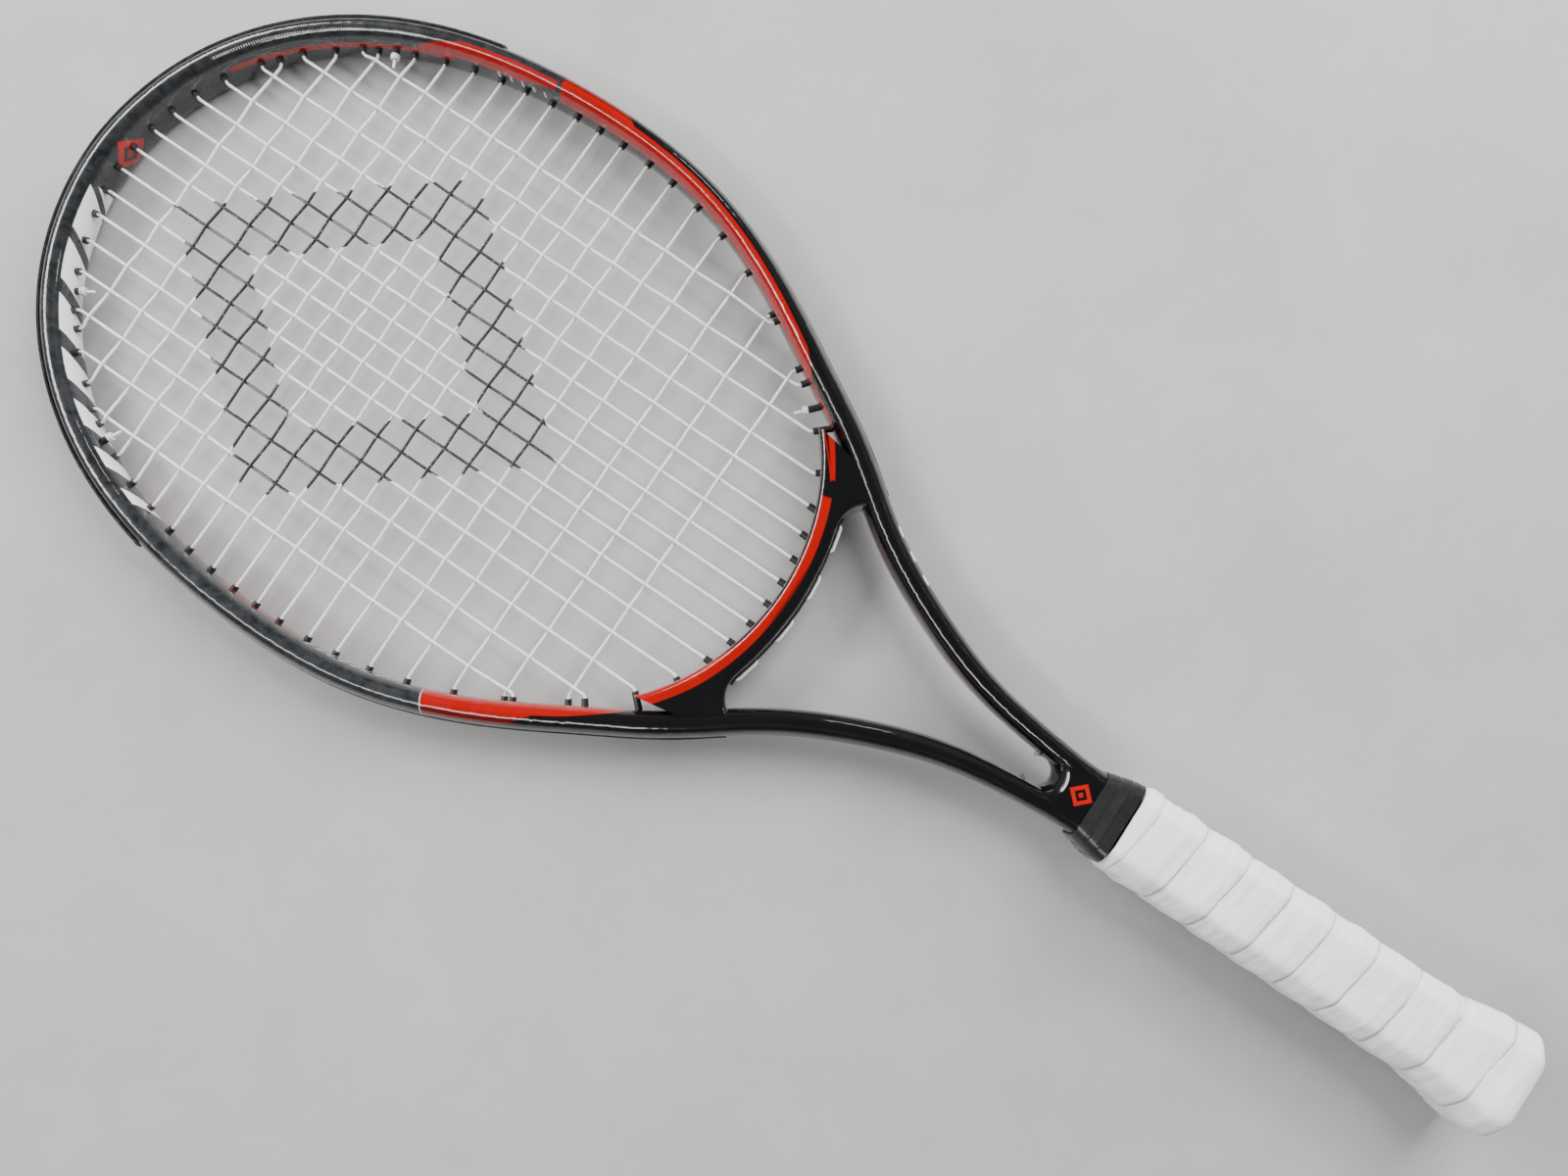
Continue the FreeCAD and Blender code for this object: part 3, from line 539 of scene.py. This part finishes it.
def stringFinish():
    f = Finish("stringSilver", stringTone["silver"], 0.34, Specular_IOR_Level=0.55, Coat_Weight=0.35,
               Coat_Roughness=0.15)
    streak = f.cloud(600, detail=3, stretch=(1.0, 1.0, 1.0))
    base = f.shades(streak, (0.3, stringTone["shade"]), (0.7, stringTone["silver"]))
    shares = []
    for place, centre, half in zip((f.x, f.y), stringTone["stencilCentre"], stringTone["stencilHalf"]):
        shares.append(f.calc("ABSOLUTE", f.calc("DIVIDE", f.calc("SUBTRACT", place, centre), half)))
    diamond = f.calc("ADD", *shares)
    ragged = f.calc("ADD", diamond, f.ramp(f.cloud(300, detail=2), 0.3, 0.7, -0.02, 0.02))
    ink = f.both(f.less(ragged, 1.0, 0.006), f.over(ragged, stringTone["stencilOpen"], 0.006))
    worn = f.over(f.cloud(1500, detail=3, rough=0.7), 0.34, 0.05)
    f.colour(f.paint(base, f.both(ink, worn), stringTone["ink"]))
    f.gloss(f.ramp(streak, 0.3, 0.7, 0.28, 0.42))
    f.emboss(f.cloud(3000, detail=2), 0.00003, 0.25)
    return f


lay(stringFinish(), "main_string", "cross_string", "tie_knots")

# Black moulded nylon: the head guard is scuffed, the grommet strips are cleaner

guardTone = {"guard": (0.017, 0.017, 0.018), "scuffed": (0.055, 0.055, 0.056), "strip": (0.011, 0.011, 0.012)}


def nylonFinish(name, tone, wear):
    f = Finish(name, tone, 0.42, Specular_IOR_Level=0.5)
    flow = f.cloud(90, detail=5, rough=0.65)
    rub = f.cloud(700, detail=4, rough=0.75, stretch=(1.0, 1.0, 0.25))
    worn = f.both(f.over(rub, 0.66 - wear * 0.12, 0.06), f.over(flow, 0.45, 0.1))
    clean = f.shades(flow, (0.3, tone), (0.8, tuple(c * 1.5 for c in tone)))
    f.colour(f.paint(clean, worn, guardTone["scuffed"]))
    f.gloss(f.calc("ADD", f.ramp(flow, 0.3, 0.7, 0.36, 0.48), f.calc("MULTIPLY", worn, 0.15)))
    f.emboss(f.cloud(2800, detail=2), 0.00004, 0.3)
    f.emboss(rub, 0.00008, 0.15 + wear * 0.2)
    return f


lay(nylonFinish("guardNylon", guardTone["guard"], 1.0), "bumper_strip")
lay(nylonFinish("grommetNylon", guardTone["strip"], 0.0),
    "side_strip_right", "side_strip_left", "bridge_strip")
print("strings and nylon parts finished")


# Collar: satin rubber with fine moulded lines and light dust

collarTone = {"dark": (0.010, 0.010, 0.011), "light": (0.014, 0.014, 0.015), "dust": (0.03, 0.03, 0.031),
              "foot": 0.1805, "lineRate": 7.2}


def collarFinish():
    f = Finish("collarRubber", collarTone["light"], 0.4, Specular_IOR_Level=0.45, Sheen_Weight=0.08)
    height = f.mm(f.y, collarTone["foot"])
    cloudy = f.cloud(180, detail=4, rough=0.6)
    dust = f.over(f.cloud(1300, detail=4, rough=0.75), 0.60, 0.05)
    tone = f.shades(cloudy, (0.3, collarTone["dark"]), (0.75, collarTone["light"]))
    f.colour(f.paint(tone, f.calc("MULTIPLY", dust, 0.3), collarTone["dust"]))
    f.gloss(f.ramp(cloudy, 0.3, 0.7, 0.24, 0.28))
    f.emboss(f.calc("SINE", f.calc("MULTIPLY", height, collarTone["lineRate"])), 0.00002, 0.2)
    f.emboss(f.cloud(2400, detail=2), 0.00003, 0.25)
    return f


lay(collarFinish(), "grip_collar")


# Parts inside the handle and frame

def mouldedFinish(name, tone, roughness, grain):
    f = Finish(name, tone, roughness)
    cloudy = f.cloud(grain * 0.1, detail=4)
    shade, light = (tuple(c * share for c in tone) for share in (0.8, 1.2))
    f.colour(f.shades(cloudy, (0.3, shade), (0.75, light)))
    f.gloss(f.ramp(cloudy, 0.3, 0.7, roughness - 0.06, roughness + 0.08))
    f.emboss(f.cells(grain), 0.00008, 0.35)
    return f


def foamFinish(name, tone):
    f = Finish(name, tone, 0.85)
    pores = f.cells(900)
    fine = f.cells(2300)
    shade = f.calc("MULTIPLY", f.ramp(pores, 0.0, 0.5, 0.55, 1.0), f.ramp(fine, 0.0, 0.5, 0.8, 1.0))
    f.colour(f.shades(shade, (0.4, tuple(c * 0.45 for c in tone)), (0.95, tone)))
    f.gloss(f.ramp(pores, 0.0, 0.6, 0.95, 0.75))
    f.emboss(pores, 0.0003, 0.5)
    return f


steelTone = {"dark": (0.42, 0.42, 0.43), "light": (0.62, 0.62, 0.63)}


def steelFinish(name):
    f = Finish(name, steelTone["light"], 0.3, Metallic=1.0)
    brush = f.cloud(500, detail=4, stretch=(1, 6, 1))
    f.colour(f.shades(brush, (0.3, steelTone["dark"]), (0.7, steelTone["light"])))
    f.gloss(f.ramp(brush, 0.3, 0.7, 0.22, 0.42))
    f.emboss(brush, 0.00003, 0.3)
    return f


innerTone = {
    "pallet": (0.62, 0.55, 0.33),
    "plug": (0.30, 0.31, 0.33),
    "weight": (0.35, 0.37, 0.42),
    "cap": (0.022, 0.022, 0.023),
    "door": (0.030, 0.030, 0.032),
}
lay(foamFinish("palletFoam", innerTone["pallet"]), "pallet_front", "pallet_back")
lay(foamFinish("plugFoam", innerTone["plug"]), "tube_plugs")
lay(mouldedFinish("weightSilicone", innerTone["weight"], 0.5, 700), "tail_weight")
lay(mouldedFinish("capPlastic", innerTone["cap"], 0.42, 1500), "butt_cap")
lay(mouldedFinish("doorPlastic", innerTone["door"], 0.36, 1700), "butt_door")
lay(steelFinish("stapleSteel"), "cap_staples", "grip_tack")
print("inner parts finished")

# Wound grips. A tape is one long strip: each turn's lower edge lies over the turn before.

handle = {
    "turnLength": 106.0,
    "halfWidth": 15.9,
    "halfHeight": 13.9,
    "corner": 5.2,
    "rounding": 26,
    "flare": ((0.0, 15.8), (2.5, 18.8), (6.0, 20.0), (11.0, 20.3), (20.0, 18.8), (34.0, 16.2), (42.0, 15.9)),
}


def flareAt(height):
    points = handle["flare"]
    if height <= points[0][0]:
        return points[0][1]
    for (lowY, lowW), (highY, highW) in zip(points, points[1:]):
        if height <= highY:
            part = (height - lowY) / (highY - lowY)
            return lowW + (highW - lowW) * part
    return points[-1][1]


def handleReach(angle, height, lift):
    # distance from the middle line to the handle's skin, in millimetres
    width = sum(flareAt(height + d) for d in (-1.5, 0.0, 1.5)) / 3
    tall = handle["halfHeight"] + 0.75 * (width - handle["halfWidth"])
    corner = handle["corner"] * width / handle["halfWidth"]
    slant = (width + tall - corner) / math.sqrt(2)
    total = 0.0
    for facet in range(8):
        lean = math.cos(angle - facet * math.pi / 4)
        if lean > 0.3:
            away = (width, slant, tall, slant)[facet % 4]
            total += (lean / (away + lift)) ** handle["rounding"]
    return total ** (-1 / handle["rounding"])


def smooth(value, low, high):
    part = min(1.0, max(0.0, (value - low) / (high - low)))
    return part * part * (3 - 2 * part)


overgripTape = {
    "width": 28.5,
    "pitch": 19.36,
    "seamAt": 13.6,
    "thick": 0.5,
    "lowY": 0.5,
    "highY": 179.6,
    "lift": 2.62,
    "lap": 0.34,
    "wrinkle": 0.62,
    "bulge": 0.62,
    "perTurn": 96,
    "acrossSteps": 22,
    "topSqueeze": 1.2,
    "buttRound": 1.3,
}
baseTape = {
    "width": 25.0,
    "pitch": 25.0,
    "seamAt": 8.0,
    "thick": 1.5,
    "lowY": 3.0,
    "highY": 174.6,
    "lift": 1.86,
    "lap": 0.0,
    "wrinkle": 0.0,
    "perTurn": 64,
    "acrossSteps": 12,
    "topSqueeze": 0.0,
    "buttRound": 0.0,
}
finishingTape = {
    "width": 6.5,
    "pitch": 3.0,
    "seamAt": 167.0,
    "thick": 0.12,
    "lowY": 167.0,
    "highY": 174.4,
    "lift": 2.02,
    "lap": 0.1,
    "wrinkle": 0.0,
    "perTurn": 64,
    "acrossSteps": 4,
    "topSqueeze": 0.0,
    "buttRound": 0.0,
}


def wrinkleAt(tape, turn, angle, across, height):
    # creases pulled slantwise, the swell of each turn, and the slow unevenness of the handle below
    point = Vector((angle * 2.4, height * 0.42, turn * 0.9))
    pull = noise.noise(Vector((angle * 0.75, across * 0.34 + angle * 0.22, turn * 1.3)))
    crease = tape["wrinkle"] * (0.75 * pull + 0.35 * noise.noise(point) + 0.22 * noise.noise(point * 2.6))
    swell = tape["bulge"] * (math.sin(math.pi * min(1, max(0, across / tape["pitch"]))) - 0.5)
    below = noise.noise(Vector((math.cos(angle) * 1.2, math.sin(angle) * 1.2, height * 0.05)))
    return crease + swell + 0.22 * below


def windTape(name, tape, body):
    firstTurn = (tape["lowY"] + 2.0 - tape["width"] - tape["seamAt"]) / tape["pitch"]
    lastTurn = (tape["highY"] - 2.0 - tape["seamAt"]) / tape["pitch"]
    steps = round((lastTurn - firstTurn) * tape["perTurn"])
    bm = bmesh.new()
    bmesh.ops.create_grid(bm, x_segments=steps, y_segments=tape["acrossSteps"], size=0.5, calc_uvs=True)
    uvLayer = bm.loops.layers.uv.new("tapeUV")
    overlap = tape["width"] - tape["pitch"]
    places = {}
    for vert in bm.verts:
        u, v = vert.co.x + 0.5, vert.co.y + 0.5
        turn = firstTurn + (lastTurn - firstTurn) * u
        angle = turn * 2 * math.pi
        edge = tape["seamAt"] + tape["pitch"] * turn
        low = max(edge, tape["lowY"])
        high = min(edge + tape["width"], tape["highY"])
        v = v + 0.055 * math.sin(2 * math.pi * v)  # closer rows at both edges
        height = low + (high - low) * v
        across = height - edge
        rise = tape["lap"] * (1 - smooth(across, overlap * 0.8, overlap * 1.35 + 0.1))
        rise *= smooth(height - tape["lowY"], -1, 6) if edge < tape["lowY"] + 4 else 1
        rise -= 0.10 * (1 - smooth(across, 0, 1.3))  # the edge is pressed thin
        ripple = 0.0
        if tape["wrinkle"]:
            ripple = wrinkleAt(tape, turn, angle, across, height)
            edgeWave = 0.45 * noise.noise(Vector((angle * 0.8, turn * 0.31, 9.1)))
            height = min(tape["highY"], max(tape["lowY"], height + edgeWave * (1 - smooth(across, 2, 9))))
        tuck = tape["lap"] * 0.55 * smooth(across, tape["pitch"] - 0.4, tape["pitch"] + 0.6)
        squeeze = tape["topSqueeze"] * smooth(height, tape["highY"] - 4.5, tape["highY"])
        buttRound = tape["buttRound"] * (1 - smooth(height, tape["lowY"] - 0.2, tape["lowY"] + 2.6))
        far = handleReach(angle, height, tape["lift"]) + rise + ripple - tuck * 0.5 - squeeze - buttRound
        vert.co = Vector((far * math.cos(angle), height, far * math.sin(angle))) / 1000
        places[vert.index] = (turn * handle["turnLength"] / 1000, across / 1000)
    for face in bm.faces:
        for loop in face.loops:
            loop[uvLayer].uv = places[loop.vert.index]
    bmesh.ops.recalc_face_normals(bm, faces=bm.faces)
    sample = max(bm.faces, key=lambda item: item.calc_center_median().z)
    if sample.normal.z < 0:
        bmesh.ops.reverse_faces(bm, faces=bm.faces)
    for face in bm.faces:
        face.smooth = True
    mesh = bpy.data.meshes.new(name)
    bm.to_mesh(mesh)
    bm.free()
    piece = bpy.data.objects.new(name, mesh)
    bpy.context.scene.collection.objects.link(piece)
    wall = piece.modifiers.new("thickness", "SOLIDIFY")
    wall.thickness = tape["thick"] / 1000
    wall.offset = -1
    length = (lastTurn - firstTurn) * handle["turnLength"] / 1000
    print(name, "wound:", steps, "steps,", round(length, 3), "m long")
    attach(piece, body)
    return piece, length


filmTone = {
    "clean": (0.83, 0.82, 0.80),
    "handled": (0.765, 0.752, 0.72),
    "edge": (0.60, 0.585, 0.55),
    "stain": (0.63, 0.61, 0.57),
}


def overgripFinish():
    f = Finish("overgripFilm", filmTone["clean"], 0.5, uvMap="tapeUV", Specular_IOR_Level=0.4,
               Subsurface_Weight=0.02, Subsurface_Scale=0.002, Sheen_Weight=0.12)
    across = f.mm(f.y)
    blotch = f.cloud(28, detail=5, rough=0.6)
    creased = f.cloud(160, detail=4, rough=0.65, twist=0.6, stretch=(0.35, 1.6, 1.0), turn=(0, 0, 0.35))
    tone = f.shades(blotch, (0.3, filmTone["handled"]), (0.62, filmTone["clean"]))
    # a darker line along each turn's lower edge, where it lies over the turn before: painted shade at the
    # seam
    tone = f.paint(tone, f.calc("MULTIPLY", f.less(across, 0.5, 0.35), 0.22), filmTone["edge"])
    stains = f.over(f.cloud(75, detail=6, rough=0.7), 0.62, 0.08)
    tone = f.paint(tone, f.calc("MULTIPLY", stains, 0.18), filmTone["stain"])
    f.colour(tone)
    f.gloss(f.ramp(creased, 0.3, 0.7, 0.42, 0.60))
    f.emboss(creased, 0.0012, 0.55)
    f.emboss(f.cloud(1500, detail=3, rough=0.6), 0.00008, 0.30)
    return f


skinTone = {"low": (0.014, 0.014, 0.014), "high": (0.032, 0.032, 0.033), "hole": (0.004, 0.004, 0.004)}


def baseGripFinish():
    f = Finish("baseGripSkin", skinTone["high"], 0.55, uvMap="tapeUV")
    pits = f.cells(420)
    # the perforations are painted near black: painted shade in holes that are only a bump
    hole = f.less(pits, 0.22, 0.04)
    grain = f.cells(2200)
    skin = f.shades(grain, (0.1, skinTone["low"]), (0.6, skinTone["high"]))
    f.colour(f.paint(skin, hole, skinTone["hole"]))
    f.gloss(f.ramp(grain, 0.1, 0.6, 0.48, 0.62))
    f.emboss(f.calc("SUBTRACT", f.calc("MULTIPLY", grain, 0.3), hole), 0.0003, 0.5)
    return f


overgrip, tapeLength = windTape("overgripTape", overgripTape, "racket")
overgrip.data.materials.append(overgripFinish().material)
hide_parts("overgrip")

baseGrip, baseLength = windTape("baseGripTape", baseTape, "racket")
baseGrip.data.materials.append(baseGripFinish().material)
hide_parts("base_grip")

tapeRing, ringLength = windTape("finishingTape", finishingTape, "racket")
tapeRing.data.materials.append(mouldedFinish("finishingTapeVinyl", (0.02, 0.02, 0.02), 0.38, 900).material)
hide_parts("grip_tape")
print("grips wound, finished with", round(ringLength, 3), "m of narrow tape")
